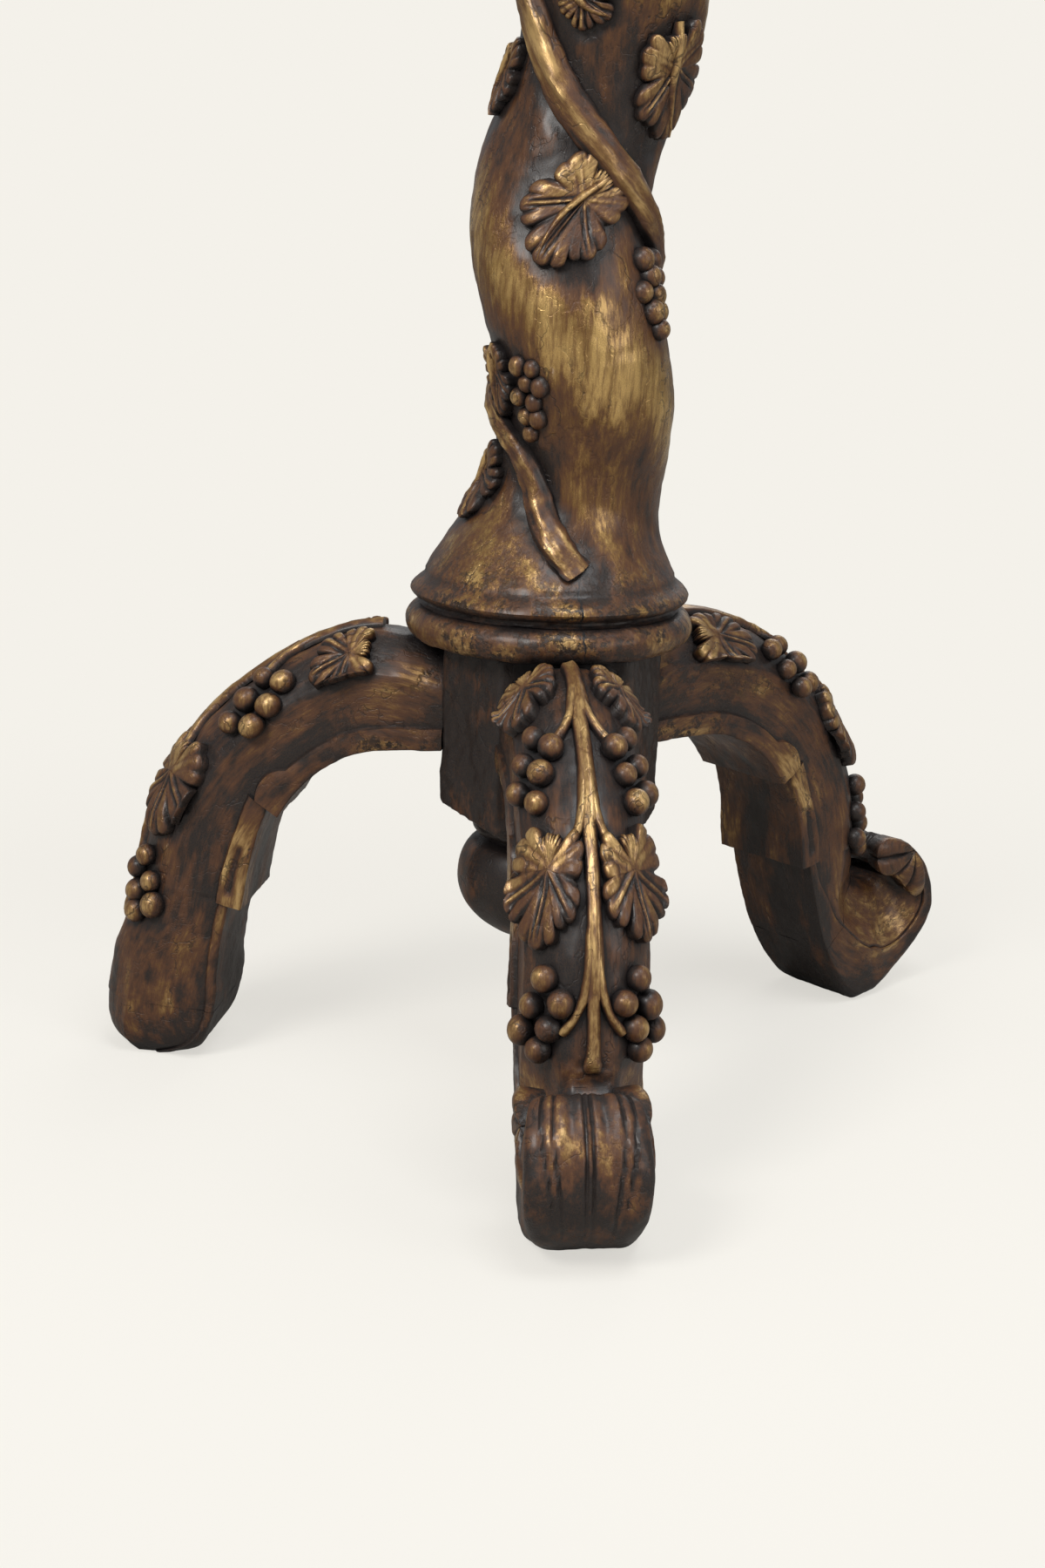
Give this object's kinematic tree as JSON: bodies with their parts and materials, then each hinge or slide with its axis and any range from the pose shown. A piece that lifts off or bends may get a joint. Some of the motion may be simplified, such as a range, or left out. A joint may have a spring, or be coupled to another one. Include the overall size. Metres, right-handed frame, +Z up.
{
  "type": "torchere candle stand",
  "caption": "Carved, gilded torchere: a twisted column wound with a vine on arched, scroll-footed legs, carrying a round platform with a raised rim for a candlestick.",
  "frame": {"origin": "on the floor, straight below the axis of the hub, collar and platform", "axes": "+Z up; -Y is the front, where one leg stands; +X is to the right of someone facing the front"},
  "size_m": [0.5739, 0.5998, 1.254],
  "materials": {
    "gilt_wood": "worn burnished gilding over red-brown bole",
    "dark_gilt_wood": "toned and worn gilding, dark in the hollows",
    "dark_wood": "near-black toned wood with a faint gold sheen",
    "raw_wood": "unfinished joinery",
    "iron": "dull iron"
  },
  "bodies": {
    "root": {"hub": "dark_wood", "pendant_finial": "dark_wood", "pendant_dowel": "raw_wood", "leg_front": "dark_gilt_wood", "leg_left": "dark_gilt_wood", "leg_right": "dark_gilt_wood", "toe_front": "dark_gilt_wood", "toe_left": "dark_gilt_wood", "toe_right": "dark_gilt_wood", "leg_dowels": "raw_wood", "toe_dowels": "raw_wood", "stem_front": "gilt_wood", "stem_left": "gilt_wood", "stem_right": "gilt_wood", "leaves_front": "gilt_wood", "leaves_left": "gilt_wood", "leaves_right": "gilt_wood", "grapes_front": "gilt_wood", "grapes_left": "gilt_wood", "grapes_right": "gilt_wood", "collar": "gilt_wood", "column": "gilt_wood", "column_tenon": "raw_wood", "vine_lower": "gilt_wood", "vine_middle": "gilt_wood", "vine_upper": "gilt_wood", "column_leaves_lower": "gilt_wood", "column_leaves_upper": "gilt_wood", "column_grapes_lower": "gilt_wood", "column_grapes_upper": "gilt_wood", "neck_ring": "gilt_wood", "capital": "gilt_wood", "capital_leaves": "gilt_wood", "top_tenon": "raw_wood", "platform": "dark_gilt_wood", "platform_rim": "gilt_wood", "platform_screws": "iron"}
  },
  "joints": []
}
